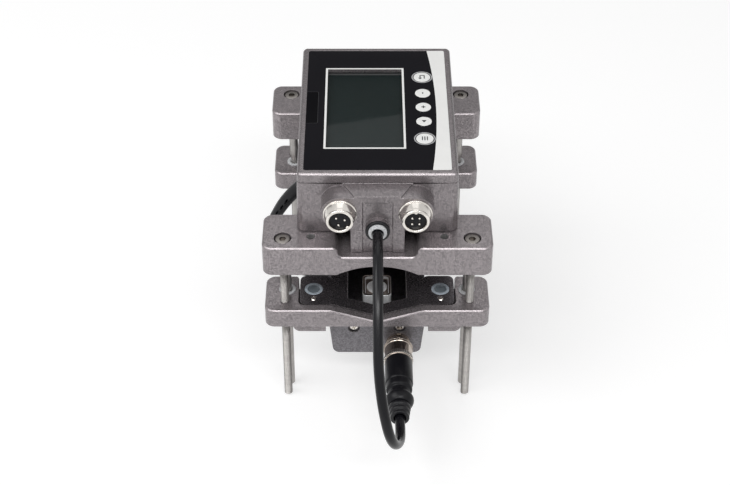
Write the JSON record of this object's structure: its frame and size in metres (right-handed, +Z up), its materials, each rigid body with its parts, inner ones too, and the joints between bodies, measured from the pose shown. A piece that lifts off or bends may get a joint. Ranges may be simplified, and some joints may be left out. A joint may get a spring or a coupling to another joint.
{
  "type": "clamp-on ultrasonic flow meter",
  "caption": "Clamp-on ultrasonic flow meter: a display housing on notched bars over a sliding vee cradle, drawn up by long screws, with round connectors and a plugged sensor lead.",
  "frame": {"origin": "on the surface that the feet stand on, under the middle of the meter's box without its cables", "axes": "+X across the pipe to the right, +Y along the pipe away from the connectors, +Z up"},
  "size_m": [0.1084, 0.2048, 0.1312],
  "materials": {
    "cast_paint": "fine hammered paint",
    "smooth_paint": "satin paint",
    "steel": "satin",
    "nickel": "nickel plate",
    "black_plastic": "moulded",
    "black_rubber": "matte",
    "light_plastic": "moulded",
    "cap_plastic": "moulded",
    "coupling": "cast resin",
    "face_film": "printed film",
    "key_white": "printed film",
    "window_glass": "clear",
    "board_green": "solder mask"
  },
  "bodies": {
    "root": {"front_upper_bar": "cast_paint", "rear_upper_bar": "cast_paint", "bar_screws": "steel", "guide_rods": "steel", "housing_base": "cast_paint", "housing_lid": "cast_paint", "lid_seal": "black_rubber", "lid_screws": "steel", "keypad_overlay": "face_film", "display_window": "window_glass", "lcd_module": "black_plastic", "key_board": "board_green", "main_board": "board_green", "connector_3pin_shell": "nickel", "connector_3pin_insert": "black_plastic", "connector_3pin_pins": "nickel", "connector_4pin_shell": "nickel", "connector_4pin_insert": "black_plastic", "connector_4pin_pins": "nickel", "gland_seal": "black_rubber", "gland_sleeve": "light_plastic", "upper_coupling_pad": "coupling", "upper_transducer": "black_plastic", "jumper_upper_relief": "black_rubber", "sensor_cable": "black_rubber", "jumper_cable": "black_rubber"},
    "lower_half": {"front_lower_bar": "cast_paint", "rear_lower_bar": "cast_paint", "guide_bushings": "light_plastic", "cradle": "cast_paint", "ear_screws": "steel", "ear_caps": "cap_plastic", "ear_pins": "steel", "sensor_box": "smooth_paint", "sensor_box_front_cover": "smooth_paint", "sensor_box_rear_cover": "smooth_paint", "cover_screws": "steel", "box_screws": "steel", "coupling_block": "coupling", "transducer_face": "nickel", "lower_transducer": "black_plastic", "sensor_socket": "nickel", "plug_body": "black_plastic", "plug_boot": "black_rubber", "jumper_lower_relief": "black_rubber"},
    "nut": {"coupling_nut": "nickel"},
    "screw_front_left": {"clamp_screw_front_left": "steel"},
    "screw_front_right": {"clamp_screw_front_right": "steel"},
    "screw_rear_left": {"clamp_screw_rear_left": "steel"},
    "screw_rear_right": {"clamp_screw_rear_right": "steel"},
    "key_menu": {"key_menu": "key_white"},
    "key_left": {"key_left": "key_white"},
    "key_plus": {"key_plus": "key_white"},
    "key_minus": {"key_minus": "key_white"},
    "key_back": {"key_back": "key_white"}
  },
  "joints": [
    {"name": "clamp_slide", "type": "slide", "parent": "root", "child": "lower_half", "axis": [0, 0, 1], "range_m": [-0.018, 0.02], "deforming": ["sensor_cable", "jumper_cable"]},
    {"name": "turn_front_left", "type": "hinge", "parent": "root", "child": "screw_front_left", "pos_m": [-0.044, -0.0587, 0.099], "axis": [0, 0, 1], "range_deg": [-11000, 9500]},
    {"name": "turn_front_right", "type": "hinge", "parent": "root", "child": "screw_front_right", "pos_m": [0.044, -0.0587, 0.099], "axis": [0, 0, 1], "range_deg": [-11000, 9500]},
    {"name": "turn_rear_left", "type": "hinge", "parent": "root", "child": "screw_rear_left", "pos_m": [-0.044, 0.0613, 0.099], "axis": [0, 0, 1], "range_deg": [-11000, 9500]},
    {"name": "turn_rear_right", "type": "hinge", "parent": "root", "child": "screw_rear_right", "pos_m": [0.044, 0.0613, 0.099], "axis": [0, 0, 1], "range_deg": [-11000, 9500]},
    {"name": "nut_turn", "type": "hinge", "parent": "lower_half", "child": "nut", "pos_m": [0.0105, -0.06345, 0.0296], "axis": [0, 1, 0], "continuous": true},
    {"name": "press_menu", "type": "slide", "parent": "root", "child": "key_menu", "axis": [0, 0, -1], "range_m": [0, 0.0004], "stiffness_N_per_m": 1500},
    {"name": "press_left", "type": "slide", "parent": "root", "child": "key_left", "axis": [0, 0, -1], "range_m": [0, 0.0004], "stiffness_N_per_m": 1500},
    {"name": "press_plus", "type": "slide", "parent": "root", "child": "key_plus", "axis": [0, 0, -1], "range_m": [0, 0.0004], "stiffness_N_per_m": 1500},
    {"name": "press_minus", "type": "slide", "parent": "root", "child": "key_minus", "axis": [0, 0, -1], "range_m": [0, 0.0004], "stiffness_N_per_m": 1500},
    {"name": "press_back", "type": "slide", "parent": "root", "child": "key_back", "axis": [0, 0, -1], "range_m": [0, 0.0004], "stiffness_N_per_m": 1500}
  ],
  "couplings": [
    {"joint": "turn_front_left", "follows": "clamp_slide", "rad_per_m": -8976},
    {"joint": "turn_front_right", "follows": "clamp_slide", "rad_per_m": -8976},
    {"joint": "turn_rear_left", "follows": "clamp_slide", "rad_per_m": -8976},
    {"joint": "turn_rear_right", "follows": "clamp_slide", "rad_per_m": -8976}
  ]
}
